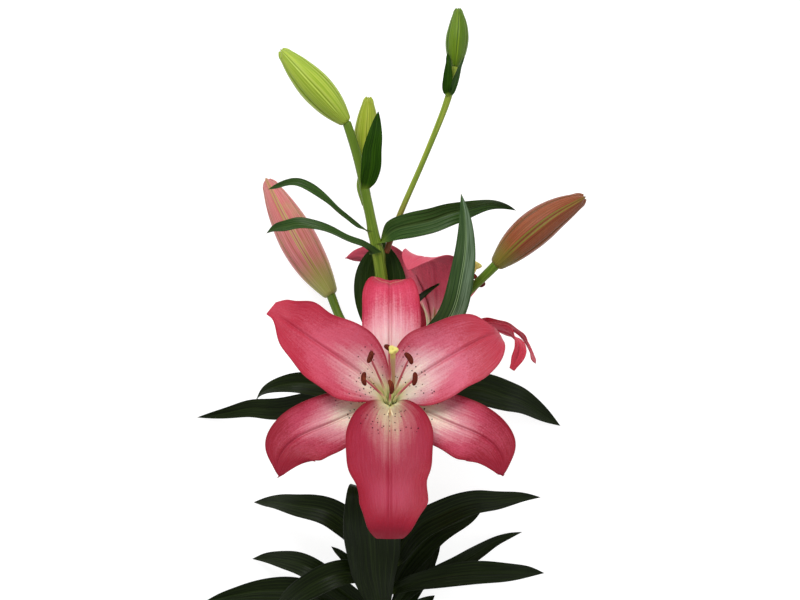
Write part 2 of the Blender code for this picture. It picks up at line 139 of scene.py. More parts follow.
def spline(count, places):
    """Weights of a natural cubic spline through count evenly spaced knots, read at places from 0 to 1."""
    knots = np.eye(count)
    bends = np.zeros((count, count))
    if count > 2:
        inner = count - 2
        system = 4 * np.eye(inner) + np.eye(inner, k=1) + np.eye(inner, k=-1)
        bends[1:-1] = np.linalg.solve(system, 6 * (knots[:-2] - 2 * knots[1:-1] + knots[2:]))
    at = np.clip(np.asarray(places, float), 0, 1) * (count - 1)
    i = np.minimum(at.astype(int), count - 2)
    t = (at - i)[:, None]
    s = 1 - t
    return s * knots[i] + t * knots[i + 1] + ((s**3 - s) * bends[i] + (t**3 - t) * bends[i + 1]) / 6


def lengths(points):
    """How far each of the points lies along the line through them all."""
    return np.concatenate([[0], np.cumsum(np.linalg.norm(np.diff(points, axis=0), axis=1))])


def unit(vectors):
    return vectors / np.maximum(np.linalg.norm(vectors, axis=-1, keepdims=True), 1e-12)


def grow(name, points, place, span):
    """A grid whose corners are moved to rows of points.

    place and span are what the skins read: place holds shares across and along the piece, and span
    holds centimetres across it and, as its third number, along it."""
    rows, columns = points.shape[:2]
    bpy.ops.object.select_all(action="DESELECT")
    bpy.ops.mesh.primitive_grid_add(x_subdivisions=columns - 1, y_subdivisions=rows - 1, size=1)
    piece = bpy.context.object
    piece.name = piece.data.name = name
    piece.data.vertices.foreach_set("co", points.astype(np.float32).ravel())
    for title, values in (("place", place), ("span", span)):
        layer = piece.data.attributes.new(title, "FLOAT_VECTOR", "POINT")
        layer.data.foreach_set("vector", values.astype(np.float32).ravel())
    return piece


def close_up(piece):
    """Welds the seam and the poles of a rolled grid and turns its faces outwards."""
    bpy.ops.object.mode_set(mode="EDIT")
    bpy.ops.mesh.select_all(action="SELECT")
    bpy.ops.mesh.remove_doubles(threshold=2e-6)
    bpy.ops.mesh.normals_make_consistent(inside=False)
    bpy.ops.object.mode_set(mode="OBJECT")
    return piece


def settle(piece, node, slot, *skins):
    """Gives the piece its skins and stands it in the place of its CAD node."""
    for skin in skins:
        piece.data.materials.append(skin)
    bpy.ops.object.shade_smooth_by_angle(angle=math.radians(50))
    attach(piece, "root")
    if node:
        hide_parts(node)
    return piece


def roll(centres, radii, start=(0.0, 0.0, 1.0), seed=0.0, heads=None, girth=None):
    """A grid rolled round a line of centres; radii has a row for each centre and a column for each side.

    The first side looks towards start. The seam's column comes twice, and close_up welds it. heads is
    the way the line runs at each centre, and girth the radius that the skins read, in centimetres."""
    if heads is None:
        heads = unit(np.gradient(centres, axis=0))
    side = np.array(start)
    if abs(heads[0] @ side) > 0.9 * np.linalg.norm(side):
        side = np.array([1.0, 0.0, 0.0])
    sides = []
    for head in heads:
        side = unit(side - head * (side @ head))
        sides.append(side)
    sides = np.array(sides)
    others = np.cross(heads, sides)
    turns = np.linspace(0, 2 * math.pi, radii.shape[1])
    out = sides[:, None] * np.cos(turns)[None, :, None] + others[:, None] * np.sin(turns)[None, :, None]
    points = centres[:, None] + out * radii[:, :, None]
    along = lengths(centres)
    place = np.zeros(points.shape)
    place[..., 0] = np.abs(turns / math.pi - 1)
    place[..., 1] = (along / along[-1])[:, None]
    place[..., 2] = seed
    girth = girth or radii.max() * 100
    span = np.zeros(points.shape)
    span[..., 0] = np.cos(turns) * girth
    span[..., 1] = np.sin(turns) * girth
    span[..., 2] = along[:, None] * 100
    return points, place, span


# -- how skins are wired --


def feed(sockets, values):
    """Links or sets each of the sockets, but for those whose value is None."""
    for socket, value in zip(sockets, values):
        if isinstance(value, bpy.types.NodeSocket):
            socket.id_data.links.new(value, socket)
        elif value is not None:
            socket.default_value = value


def wire(kind, *values, **settings):
    """A new node, with a value or another node's socket for each of its inputs in turn.

    It goes into the tree of those sockets, of which there has to be one."""
    tree = next(value.id_data for value in values if isinstance(value, bpy.types.NodeSocket))
    made = tree.nodes.new("ShaderNode" + kind)
    for key, value in settings.items():
        setattr(made, key, value)
    feed(made.inputs, values)
    return made


def calc(operation, a, b=0.0):
    return wire("Math", a, b, operation=operation).outputs[0]


def plus(a, b):
    return calc("ADD", a, b)


def times(*factors):
    result = factors[0]
    for factor in factors[1:]:
        result = calc("MULTIPLY", result, factor)
    return result


def fade(x, low, high):
    """0 where x is at low and 1 where it is at high, either of which may be the greater."""
    limits = (low, high, 0.0, 1.0) if low < high else (high, low, 1.0, 0.0)
    return wire("MapRange", x, *limits, interpolation_type="SMOOTHSTEP").outputs[0]


def overlap(*ramps):
    """1 where all of the ramps are; each is a value with the low and the high that fade takes."""
    return times(*(fade(*ramp) for ramp in ramps))


def mix(share, a, b):
    """Colour a, turned into colour b by share."""
    made = share.id_data.nodes.new("ShaderNodeMix")
    made.data_type = "RGBA"
    colours = [c if isinstance(c, bpy.types.NodeSocket) else (*c, 1) for c in (a, b)]
    feed([made.inputs[k] for k in (0, 6, 7)], [share, *colours])
    return made.outputs[2]


def glaze(colour, over, strength, *ramps):
    """The colour, with another laid over it so strongly where all of the ramps are 1."""
    return mix(times(overlap(*ramps), strength), colour, over)


def dim(colour, by):
    return [part * by for part in colour]


def new_effect(name, takes, gives):
    """An empty node group with number or vector sockets, and its two end nodes."""
    group = bpy.data.node_groups.new(name, "ShaderNodeTree")
    for title, kind, default in takes:
        socket = group.interface.new_socket(title, in_out="INPUT", socket_type="NodeSocket" + kind)
        if default is not None:
            socket.default_value = default
    for title in gives:
        group.interface.new_socket(title, in_out="OUTPUT", socket_type="NodeSocketFloat")
    return group, group.nodes.new("NodeGroupInput").outputs, group.nodes.new("NodeGroupOutput").inputs


def use(effect, *values):
    """Places an effect in the skin that its first value is from, and returns its outputs."""
    made = values[0].id_data.nodes.new("ShaderNodeGroup")
    made.node_tree = effect
    feed(made.inputs, values)
    return made.outputs


def make_fibres():
    """Long fine streaks that run with the piece: so many to a centimetre across, and so long."""
    takes = [("Span", "Vector", None), ("Across", "Float", 10.0), ("Along", "Float", 0.5)]
    takes.append(("Seed", "Float", 0.0))
    group, given, out = new_effect("fibres", takes, ["Value", "Fine"])
    split = wire("SeparateXYZ", given[0]).outputs
    y = plus(times(split[1], given[1]), given[3])
    z = times(split[2], given[2])
    where = wire("CombineXYZ", times(split[0], given[1]), y, z).outputs[0]
    group.links.new(wire("TexNoise", where, None, 1.0, 3.0, 0.6).outputs[0], out[0])
    group.links.new(wire("TexNoise", where, None, 3.1, 2.0, 0.5).outputs[0], out[1])
    return group


def make_patches():
    """Soft uneven patches of so many to a metre, and fine pores fifteen times as close."""
    takes = [("Where", "Vector", None), ("Scale", "Float", 40.0)]
    group, given, out = new_effect("patches", takes, ["Value", "Pores"])
    close = times(given[1], 15.0)
    group.links.new(wire("TexNoise", given[0], None, given[1], 3.0, 0.55).outputs[0], out[0])
    group.links.new(wire("TexNoise", given[0], None, close, 2.0, 0.5).outputs[0], out[1])
    return group


fibres = make_fibres()
patches = make_patches()


def read(tree, title):
    """What grow wrote on the points under this title."""
    attribute = tree.nodes.new("ShaderNodeAttribute")
    attribute.attribute_name = title
    return attribute.outputs["Vector"]


def new_skin(name, roughness, specular=0.18, soft=0.0):
    """An empty skin: its material, and what its pattern is drawn with.

    soft is how much light goes into the flesh and comes out near by."""
    skin = bpy.data.materials.new(name)
    skin.use_nodes = True
    tree = skin.node_tree
    inputs = tree.nodes["Principled BSDF"].inputs
    inputs["Roughness"].default_value = roughness
    inputs["Specular IOR Level"].default_value = specular
    if soft:
        inputs["Subsurface Weight"].default_value = soft
        inputs["Subsurface Radius"].default_value = (1.0, 0.35, 0.25)
        inputs["Subsurface Scale"].default_value = 0.0015
    place = wire("SeparateXYZ", read(tree, "place")).outputs
    body = tree.nodes.new("ShaderNodeTexCoord").outputs["Object"]
    return skin, place, read(tree, "span"), body


def finish_skin(skin, colour, relief, depth, rough=None):
    """Wires a skin's colour and its relief, which stands depth metres high where it is 1.

    rough holds the pores, the least roughness and how much more of it the pores give."""
    tree = skin.node_tree
    inputs = tree.nodes["Principled BSDF"].inputs
    tree.links.new(colour, inputs["Base Color"])
    if rough:
        pores, least, more = rough
        tree.links.new(plus(least, times(pores, more)), inputs["Roughness"])
    bump = wire("Bump", 1.0, depth, None, relief)
    tree.links.new(bump.outputs["Normal"], inputs["Normal"])
    return skin


def stalk_skin(name, deep, light, blush_ends=0.0, collar=1.1):
    """Green bark with pale strands; blush_ends is how far a red flush reaches up from its root.

    From collar on, along the stalk, it is the pale green of a bloom's foot."""
    skin, place, span, body = new_skin(name, 0.42)
    strands, fine = use(fibres, span, 9.0, 0.25, place[2])
    clouds, pores = use(patches, body, 45.0)
    colour = glaze(deep, light, 1, (strands, 0.36, 0.66))
    colour = glaze(colour, deep, 0.45, (clouds, 0.45, 0.75))
    if blush_ends:
        flush = plus(place[1], times(clouds, 0.1))
        colour = glaze(colour, (0.16, 0.05, 0.02), 1, (flush, blush_ends, 0.04))
    if collar < 1:
        colour = glaze(colour, (0.66, 0.72, 0.34), 1, (place[1], collar, collar + 0.06))
    flecks = wire("TexVoronoi", body, None, 420.0, feature="F1").outputs["Distance"]
    colour = glaze(colour, (0.06, 0.03, 0.012), 0.5, (flecks, 0.22, 0.12), (pores, 0.62, 0.68))
    relief = plus(fine, times(strands, 2.0))
    return finish_skin(skin, colour, relief, 0.00012, (pores, 0.30, 0.25))


def tube_radii(radii, sides, ridges=0.0, count=5):
    """The same radius on every side, but for a few low ridges."""
    turns = np.linspace(0, 2 * math.pi, sides + 1)
    return radii[:, None] * (1 + ridges * np.cos(count * turns)[None, :])


STEM_ROWS, STEM_SIDES, STEM_SLICES = 420, 40, 26


def slices_of(node, count):
    """Centres and mean radii of the node where planes cut it, from its lower end to its upper one."""
    shell = bmesh.new()
    shell.from_mesh(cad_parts[node].data)
    low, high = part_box(node)
    centres, radii = [], []
    for y in np.linspace(low[1] + 1.5 * MM, high[1] - 1.5 * MM, count):
        geometry = [*shell.verts, *shell.edges, *shell.faces]
        cut = bmesh.ops.bisect_plane(shell, geom=geometry, plane_co=(0, y, 0), plane_no=(0, 1, 0))
        ring = np.array([v.co for v in cut["geom_cut"] if isinstance(v, bmesh.types.BMVert)])
        centres.append((ring.min(0) + ring.max(0)) / 2)
        radii.append(np.linalg.norm(ring - centres[-1], axis=1).mean())
    shell.free()
    return np.array(centres), np.array(radii)


stem_centres, stem_radii = slices_of("stem", STEM_SLICES)
weights = spline(STEM_SLICES, np.linspace(0, 1, STEM_ROWS))
stem_line = weights @ stem_centres
stem_radii = tube_radii(weights @ stem_radii, STEM_SIDES, 0.014, 7)
stem_points, stem_place, stem_span = roll(stem_line, stem_radii)

# Cushions: the bark swells where a leaf or a stalk leaves it.
cushions = []
for node in named("leaf_", "bract_small", "stalk_", "front_bloom_stalk", "rear_bloom_stalk"):
    root = rings_of(node, stem_line[::8])[0][0]
    cushions.append((root, 1.1 * MM if "stalk" in node else 0.75 * MM))
outward = unit(stem_points - stem_line[:, None])
for root, height in cushions:
    away = np.linalg.norm(stem_points - root, axis=2)
    stem_points += outward * (height * np.exp(-((away / (4.2 * MM)) ** 2)))[..., None]


def cap_ends(points, place, span, flat_root=False, dome=0.58):
    """Adds rows that draw both ends of a rolled grid to a pole: flat for a cut end, else domed."""
    first, last = points[0].mean(0), points[-1].mean(0)
    down = unit(points[0].mean(0) - points[1].mean(0))
    up = unit(points[-1].mean(0) - points[-2].mean(0))
    size = np.linalg.norm(points[0] - first, axis=1).mean()
    tip = np.linalg.norm(points[-1] - last, axis=1).mean()
    roots = [(0.0, 0.0), (0.45, 0.0), (0.9, 0.0)] if flat_root else [(0.0, 0.45), (0.5, 0.38), (0.85, 0.2)]
    tips = [(0.85, 0.52 * dome), (0.5, 0.86 * dome), (0.0, dome)]
    rows = [first + (points[0] - first) * share + down * size * lift for share, lift in roots]
    ends = [last + (points[-1] - last) * share + up * tip * lift for share, lift in tips]
    count = len(roots)
    points = np.concatenate([rows, points, ends])
    place = np.concatenate([place[:1]] * count + [place] + [place[-1:]] * len(tips))
    span = np.concatenate([span[:1]] * count + [span] + [span[-1:]] * len(tips))
    if flat_root:
        for k, (share, _) in enumerate(roots):
            place[k, :, 1] = share - 1.01
    return points, place, span


def stem_skin():
    """The stalks' bark, darker towards the buds, and a pale cut face where the place along it is below 0."""
    skin = stalk_skin("stem_bark", (0.080, 0.135, 0.008), (0.205, 0.270, 0.026))
    tree = skin.node_tree
    base = tree.nodes["Principled BSDF"].inputs["Base Color"]
    along = wire("SeparateXYZ", read(tree, "place")).outputs[1]
    bark = glaze(base.links[0].from_socket, (0.072, 0.135, 0.008), 0.75, (along, 0.78, 0.92))
    pith = glaze((0.42, 0.47, 0.20), (0.16, 0.25, 0.05), 1, (along, -0.45, -0.12))
    tree.links.new(glaze(bark, pith, 1, (along, -0.002, -0.008)), base)
    return skin


stem = grow("stem_bark", *cap_ends(stem_points, stem_place, stem_span, flat_root=True))
settle(close_up(stem), "stem", "stem", stem_skin())

# ---- The flower stalks ----
# Each bloom and bud hangs on a green stalk of its own, which widens into a small disc under a bloom. The
# long one under the topmost bud flushes red-brown near its root.
fresh_stalk = stalk_skin("fresh_stalk", (0.055, 0.110, 0.005), (0.135, 0.200, 0.016))
bloom_stalk = stalk_skin("bloom_stalk", (0.085, 0.17, 0.012), (0.21, 0.30, 0.04), collar=0.86)
flushed_stalk = stalk_skin("flushed_stalk", (0.12, 0.185, 0.012), (0.28, 0.32, 0.040), blush_ends=0.42)
STALK_ROWS, STALK_SIDES = 90, 28
STALK_SKINS = {
    "stalk_green_top": flushed_stalk,
    "front_bloom_stalk": bloom_stalk,
    "rear_bloom_stalk": bloom_stalk,
}


def centre_line(rings, rows):
    """rows evenly spaced centres and mean radii along the rings, without their poles."""
    middles = np.array([ring.mean(0) for ring in rings[1:-1]])
    radii = np.array([np.linalg.norm(ring - ring.mean(0), axis=1).mean() for ring in rings[1:-1]])
    weights = spline(len(middles), np.linspace(0, 1, rows))
    return weights @ middles, weights @ radii


def grow_stalk(node, skin):
    rings = rings_of(node, stem_line[::8])
    line, radii = centre_line(rings, STALK_ROWS)
    piece = grow(node + "_bark", *cap_ends(*roll(line, tube_radii(radii, STALK_SIDES, 0.02, 5))))
    settle(close_up(piece), node, "stem", skin)
    return line


stalk_ends = {}
for node in named("stalk_", "front_bloom_stalk", "rear_bloom_stalk"):
    stalk_ends[node] = grow_stalk(node, STALK_SKINS.get(node, fresh_stalk))[-1]

# ---- The leaves ----
# Long narrow blades with parallel ribs and a channel down the middle, thin and leathery, which clasp
# the stem at their roots. Those near the buds are fresh green, and those lower down almost black-green,
# partly their own colour and partly painted shade.
LEAF_ROWS, LEAF_COLUMNS = 100, 32
RIB_STEP = 0.27  # from one rib to the next, as a share of half the width


def rise(low, high, x):
    """From 0 at low to 1 at high, with a soft start and end."""
    t = np.clip((np.asarray(x, float) - low) / (high - low), 0, 1)
    return t * t * (3 - 2 * t)


def sheet_of(node, near, rows, columns):
    """The CAD blade's middle surface, as rows of points from its root to its tip.

    Its columns run so that the face towards which the edges stand looks along the grid's normals."""
    rings = rings_of(node, near)
    root, tip = rings[0][0], rings[-1][0]
    lines = []
    for ring in rings[1:-1]:
        half = len(ring) // 2
        gaps = [np.linalg.norm(ring[k] - ring[k + half]) for k in range(half)]
        ring = np.roll(ring, -int(np.argmax(gaps)), axis=0)
        if lines and math.dist(ring[0], lines[-1][0]) > math.dist(ring[half], lines[-1][0]):
            ring = np.roll(ring, half, axis=0)
        back = np.concatenate([ring[half:], ring[:1]])[::-1]
        lines.append((ring[: half + 1] + back) / 2)
    lines = np.array(lines)
    middle = lines.shape[1] // 2
    lift = (lines[:, 0] + lines[:, -1]) / 2 - lines[:, middle]
    normals = np.cross(lines[:, -1] - lines[:, 0], np.gradient(lines[:, middle], axis=0))
    if np.einsum("ij,ij->i", lift, unit(normals)).sum() < 0:
        lines = lines[:, ::-1]
    lines = np.concatenate([lines, np.repeat(tip[None, None], lines.shape[1], axis=1)])
    down = spline(len(lines), np.linspace(0, 1, rows))
    across = spline(lines.shape[1], np.linspace(0, 1, columns))
    points = np.einsum("ri,ijk,cj->rck", down, lines, across)
    return points, root


def blade_marks(points, seed):
    """Across and along for every point: shares of the half width and the length, and centimetres."""
    rows, columns = points.shape[:2]
    steps = np.linalg.norm(np.diff(points, axis=1), axis=2)
    run = np.concatenate([np.zeros((rows, 1)), np.cumsum(steps, axis=1)], axis=1)
    run -= (run[:, [columns // 2]] + run[:, [(columns - 1) // 2]]) / 2
    along = lengths(points[:, columns // 2])
    place = np.zeros(points.shape)
    place[..., 0] = np.linspace(-1, 1, columns)[None, :]
    place[..., 1] = (along / along[-1])[:, None]
    place[..., 2] = seed
    span = np.zeros(points.shape)
    span[..., 0] = run * 100
    span[..., 1] = seed
    span[..., 2] = along[:, None] * 100
    return place, span


def face_normals(points):
    return unit(np.cross(np.gradient(points, axis=1), np.gradient(points, axis=0)))


def thicken(piece, thick, thin, second_skin):
    """Gives a sheet its thickness: thick down its middle and near its root, thin at its edges."""
    place = np.empty(len(piece.data.vertices) * 3)
    piece.data.attributes["place"].data.foreach_get("vector", place)
    place = place.reshape(-1, 3)
    flesh = piece.vertex_groups.new(name="flesh")
    for index, share in enumerate(1 - rise(0.15, 1.0, np.abs(place[:, 0])) * rise(0, 0.12, place[:, 1])):
        flesh.add([index], float(share), "REPLACE")
    shell = piece.modifiers.new("thickness", "SOLIDIFY")
    shell.thickness = thick
    shell.offset = 0
    shell.vertex_group = flesh.name
    shell.thickness_vertex_group = thin / thick
    if second_skin:
        shell.material_offset = 1
    bpy.ops.object.modifier_apply(modifier=shell.name)
    piece.vertex_groups.clear()


def grow_sheet(name, points, place, span, thick, thin, second_skin=False):
    """As grow, for a blade with a thickness, whose front looks along the grid's normals."""
    front = face_normals(points)[len(points) // 2, points.shape[1] // 2]
    piece = close_up(grow(name, points, place, span))
    if np.array(piece.data.polygons[len(piece.data.polygons) // 2].normal) @ front < 0:
        piece.data.flip_normals()
    thicken(piece, thick, thin, second_skin)
    return piece


def leaf_skin(name, deep, light, rib, gloss, lit_half=0.0, specular=0.14):
    """A leathery green blade: deep between its ribs, lighter where light comes through, pale at its root.

    The number after gloss is how much painted sheen, a paler grey-green as where light falls, lies on its
    right half."""
    skin, place, span, body = new_skin(name, gloss, specular)
    side = calc("ABSOLUTE", place[0])
    streaks, fine = use(fibres, span, 12.0, 0.35, place[2])
    clouds, pores = use(patches, body, 38.0)
    wave = calc("COSINE", times(side, 2 * math.pi / RIB_STEP))
    colour = glaze(deep, light, 1, (streaks, 0.35, 0.7))
    colour = glaze(colour, deep, 0.5, (clouds, 0.4, 0.7))
    colour = glaze(colour, rib, 0.42,
                   (wave, 0.80, 1.0), (side, 0.98, 0.9), (place[1], 1.0, 0.7), (clouds, 0.38, 0.56))
    # Painted sheen: the right half of the blade is laid over with a paler grey-green, where that half
    # catches the light.
    if lit_half:
        colour = glaze(colour, (0.13, 0.185, 0.115), lit_half,
                       (place[0], 0.06, 0.16), (place[0], 0.97, 0.80), (streaks, 0.25, 0.6))
    # The pale double midrib is its own colour, made paler still on a blade with painted sheen.
    colour = glaze(colour, dim(rib, 1 + lit_half), 0.35 + lit_half * 0.5,
                   (side, 0.035, 0.06), (side, 0.13, 0.09), (place[1], 0.98, 0.8))
    colour = glaze(colour, deep, 0.5, (side, 0.94, 0.99))
    colour = glaze(colour, (0.13, 0.20, 0.02), 1, (place[1], 0.09, 0.0))
    colour = glaze(colour, (0.12, 0.09, 0.03), 0.7, (place[1], 0.985, 1.0))
    relief = plus(fine, times(pores, 0.4))
    return finish_skin(skin, colour, relief, 0.00010, (pores, gloss - 0.08, 0.2))


fresh_leaf = leaf_skin("fresh_leaf", (0.012, 0.036, 0.004), (0.030, 0.072, 0.010),
                       (0.085, 0.125, 0.035), 0.36)
tall_leaf = leaf_skin("tall_leaf", (0.018, 0.046, 0.010), (0.040, 0.080, 0.020),
                      (0.12, 0.17, 0.08), 0.34, lit_half=0.8)
# The lower leaves' near-black green is partly their own colour and partly painted shade, for the shade they
# lie in under the bloom.
dark_leaf = leaf_skin("dark_leaf", (0.0036, 0.0070, 0.0005), (0.0090, 0.0165, 0.0016),
                      (0.026, 0.042, 0.008), 0.38, specular=0.09)
# The leaf behind the stem is paler than the dark leaves: painted light that lifts the shadow cast on it.
shade_leaf = leaf_skin("shade_leaf", (0.010, 0.026, 0.003), (0.022, 0.048, 0.007),
                       (0.045, 0.075, 0.018), 0.36)
bract_leaf = leaf_skin("bract_leaf", (0.007, 0.028, 0.0005), (0.018, 0.056, 0.001),
                       (0.034, 0.090, 0.004), 0.40, specular=0.05)
CLASP_ANGLE = 62  # how far a sheath reaches round the stem either way, in degrees
CLASP_SHARE = 0.10  # and along its leaf
OVER_STEM = {"leaf_upper_left": 55.0}
TWIN_SHARE = 1.72  # 2 would be a full mirror image; less keeps the twin closer to the stalk
LEAF_THICK, LEAF_THIN = 0.6 * MM, 0.3 * MM


def clasp(points, root, along, over):
    """Bends the first rows of a blade round the stem, so that its root holds the stem like a sheath.

    over turns the sheath up round the stem, in degrees."""
    nearest = int(np.argmin(np.linalg.norm(stem_line - root, axis=1)))
    head = unit(stem_line[min(nearest + 3, STEM_ROWS - 1)] - stem_line[max(nearest - 3, 0)])
    centre = stem_line[nearest]
    out = root - centre
    out = unit(out - head * (out @ head))
    side = np.cross(head, out)
    if side @ (points[4, -1] - points[4, 0]) < 0:
        side = -side
    upward = 1 if side[2] > 0 else -1
    reach = np.radians(CLASP_ANGLE) * np.linspace(-1, 1, points.shape[1]) + np.radians(over) * upward
    radius = stem_radii[nearest].mean() + (0.35 + abs(over) / 40) * MM
    round_stem = centre + radius * (np.cos(reach)[:, None] * out + np.sin(reach)[:, None] * side)
    grip = (1 - rise(abs(over) / 1400, CLASP_SHARE + abs(over) / 600, along))[..., None]
    return points * (1 - grip) + round_stem[None] * grip


def grow_leaf(node, skin, seed, near=None, ripple=0.5, fold=0.6, holds=True, twin=None):
    """fold is the depth of the channel along the midrib, in millimetres; holds is for those on the stem;
    twin is a point and a direction, for a second leaf that mirrors the node's across the point."""
    points, root = sheet_of(node, stem_line[::8] if near is None else near, LEAF_ROWS, LEAF_COLUMNS)
    if twin:
        points = points - TWIN_SHARE * ((points - twin[0]) @ twin[1])[..., None] * twin[1]
    place, span = blade_marks(points, seed)
    side, along = np.abs(place[..., 0]), place[..., 1]
    across = span[..., 0] * 10  # millimetres
    open_part = rise(0.0, 0.12, along) * rise(1.0, 0.86, along)
    groove = -fold * np.exp(-((across / 1.0) ** 2)) - 0.9 * fold * np.exp(-((across / 3.2) ** 2))
    ribs = 0.10 * np.cos(2 * math.pi * side / RIB_STEP) * rise(0.05, 0.2, side)
    waves = ripple * side**3 * np.sin(2 * math.pi * (2.3 * along + seed) + np.sign(place[..., 0]) * 0.9)
    lift = (groove + ribs + waves) * open_part * MM
    points = points + face_normals(points) * lift[..., None]
    if holds:
        points = clasp(points, root, along, OVER_STEM.get(node, 0.0))
    title = node + ("_twin" if twin else "_blade")
    piece = grow_sheet(title, points, place, span, LEAF_THICK, LEAF_THIN)
    settle(piece, None if twin else node, "leaf", skin)


LOWER_LEAVES = ("leaf_lower", "leaf_bottom", "leaf_centre", "leaf_middle")
LEAF_SKINS = {"leaf_upright": tall_leaf, "leaf_behind_stem": shade_leaf}
for number, node in enumerate(named("leaf_")):
    upper_skin = LEAF_SKINS.get(node, fresh_leaf)
    grow_leaf(node, dark_leaf if node.startswith(LOWER_LEAVES) else upper_skin, number * 0.37)
grow_leaf("bract_small_bud", bract_leaf, 8.1, fold=0.4, ripple=0.3)
grow_leaf("bract_top_bud", bract_leaf, 8.6, near=[stem_line[0]], fold=0.3, ripple=0.1, holds=False)
bract_rings = rings_of("stalk_green_top", stem_line[::8])
bract_side = unit(np.cross(bract_rings[-1].mean(0) - bract_rings[-3].mean(0), (0.0, 0.0, 1.0)))
grow_leaf("bract_top_bud", fresh_leaf, 9.3, near=[stem_line[0]], fold=0.3, ripple=0.1, holds=False,
          twin=(stalk_ends["stalk_green_top"], bract_side))

# A small dark leaf stands up from the stem above the one behind it, and shows between the two blooms.
LITTLE_LEAF = np.array([(4, 10, 3), (9, 20, 12), (17, 31, 25), (27, 41, 41), (38, 49, 48)]) * MM
little_root = rings_of("leaf_behind_stem", stem_line[::8])[0].mean(0)
little_line = little_root + spline(len(LITTLE_LEAF), np.linspace(0, 1, LEAF_ROWS)) @ LITTLE_LEAF
little_v = np.linspace(0, 1, LEAF_ROWS)
little_half = 3.2 * MM * np.sin(math.pi * np.clip(little_v * 0.93 + 0.06, 0, 1)) ** 0.8
little_across = unit(np.cross(unit(np.gradient(little_line, axis=0)), (-0.5, 0.3, 0.8)))
little_u = np.linspace(-1, 1, LEAF_COLUMNS)
little_up = unit(np.cross(little_across, unit(np.gradient(little_line, axis=0))))
little_points = little_line[:, None] + little_across[:, None] * (little_half[:, None] * little_u)[..., None]
little_points = little_points + little_up[:, None] * (1.2 * MM * little_u**2)[None, :, None]
little_leaf = close_up(grow("little_leaf_blade", little_points, *blade_marks(little_points, 9.9)))
thicken(little_leaf, LEAF_THICK, LEAF_THIN, False)
settle(little_leaf, None, "leaf", dark_leaf)

# ---- The buds ----
# Closed buds: three thick outer petals that meet in grooves, each with a double rib down its middle, and
# a notched tip. The young ones are yellow-green, and the older ones colour from the tip down.
BUD_ROWS, BUD_SIDES = 110, 96


def bud_skin(name, green, light, flush, flush_from, rib):
    """flush comes over the green from flush_from on, along the bud, and leaves the double rib green."""
    skin, place, span, body = new_skin(name, 0.42, 0.18, 0.08)
    streaks, fine = use(fibres, span, 14.0, 0.22, place[2])
    hairs = use(fibres, span, 30.0, 0.12, place[2])[0]
    clouds, pores = use(patches, body, 60.0)
    colour = glaze(green, light, 1, (streaks, 0.35, 0.68))
    if flush:
        start = plus(place[1], times(streaks, 0.16))
        tint = glaze(*flush, 1, (streaks, 0.3, 0.72))
        colour = glaze(colour, tint, 1, (start, flush_from, flush_from + 0.28))
    colour = glaze(colour, dim(green, 0.6), 0.35, (hairs, 0.50, 0.62))
    colour = glaze(colour, *rib,
                   (place[0], 0.050, 0.075), (place[0], 0.150, 0.115), (place[1], 0.02, 0.2))
    colour = glaze(colour, dim(green, 0.5), 0.55, (place[0], 0.045, 0.015), (place[1], 0.05, 0.25))
    colour = glaze(colour, dim(green, 0.45), 0.55, (place[0], 0.90, 0.99))
    colour = glaze(colour, green, 0.25, (clouds, 0.5, 0.75))
    colour = glaze(colour, (0.05, 0.04, 0.01), 0.8, (pores, 0.60, 0.68), (place[1], 0.90, 0.99))
    return finish_skin(skin, colour, plus(streaks, fine), 0.00016, (pores, 0.32, 0.2))


NOTCH = 1.5 * MM  # how far the three petals stand out at the tip, over the grooves


def grow_bud(node, skin, slot, seed, near):
    rings = rings_of(node, near)
    line, radii = centre_line(rings, BUD_ROWS)
    belly = rings[len(rings) // 2]
    lobe = belly[int(np.argmax(np.linalg.norm(belly - belly.mean(0), axis=1)))] - belly.mean(0)
    turns = np.linspace(0, 2 * math.pi, BUD_SIDES + 1)
    off = np.abs((turns * 3 / (2 * math.pi) + 0.5) % 1 - 0.5) * 2  # 0 on a lobe's middle, 1 in a groove
    v = np.linspace(0, 1, BUD_ROWS)[:, None]
    open_part = rise(0.02, 0.22, v)
    tip = rise(0.90, 1.0, v)
    lobes = 0.045 * np.cos(3 * turns)[None] * (1 + 3.0 * tip)
    seams = -np.exp(-(((1 - off) / 0.055) ** 2))[None] * (0.075 + 0.16 * tip)
    keel = 0.030 * np.exp(-(((off - 0.15) / 0.05) ** 2)) - 0.030 * np.exp(-((off / 0.06) ** 2))
    flats = -0.020 * np.exp(-(((off - 0.55) / 0.22) ** 2))
    shape = 1 + lobes + (seams + (keel + flats)[None]) * open_part
    rounded = np.sqrt(1 - (np.clip(v - 0.962, 0, None) / 0.046) ** 2)
    points, place, span = roll(line, radii[:, None] * shape * rounded, start=lobe)
    head = unit(line[-1] - line[-4])
    points[-9:] += head * (NOTCH * np.linspace(0, 1, 9)[:, None] ** 2 * (1 - 2 * off)[None])[..., None]
    place[..., 0] = off[None]
    place[..., 2] = seed
    piece = grow(node + "_skin", *cap_ends(points, place, span, dome=0.05))
    settle(close_up(piece), node, slot, skin)


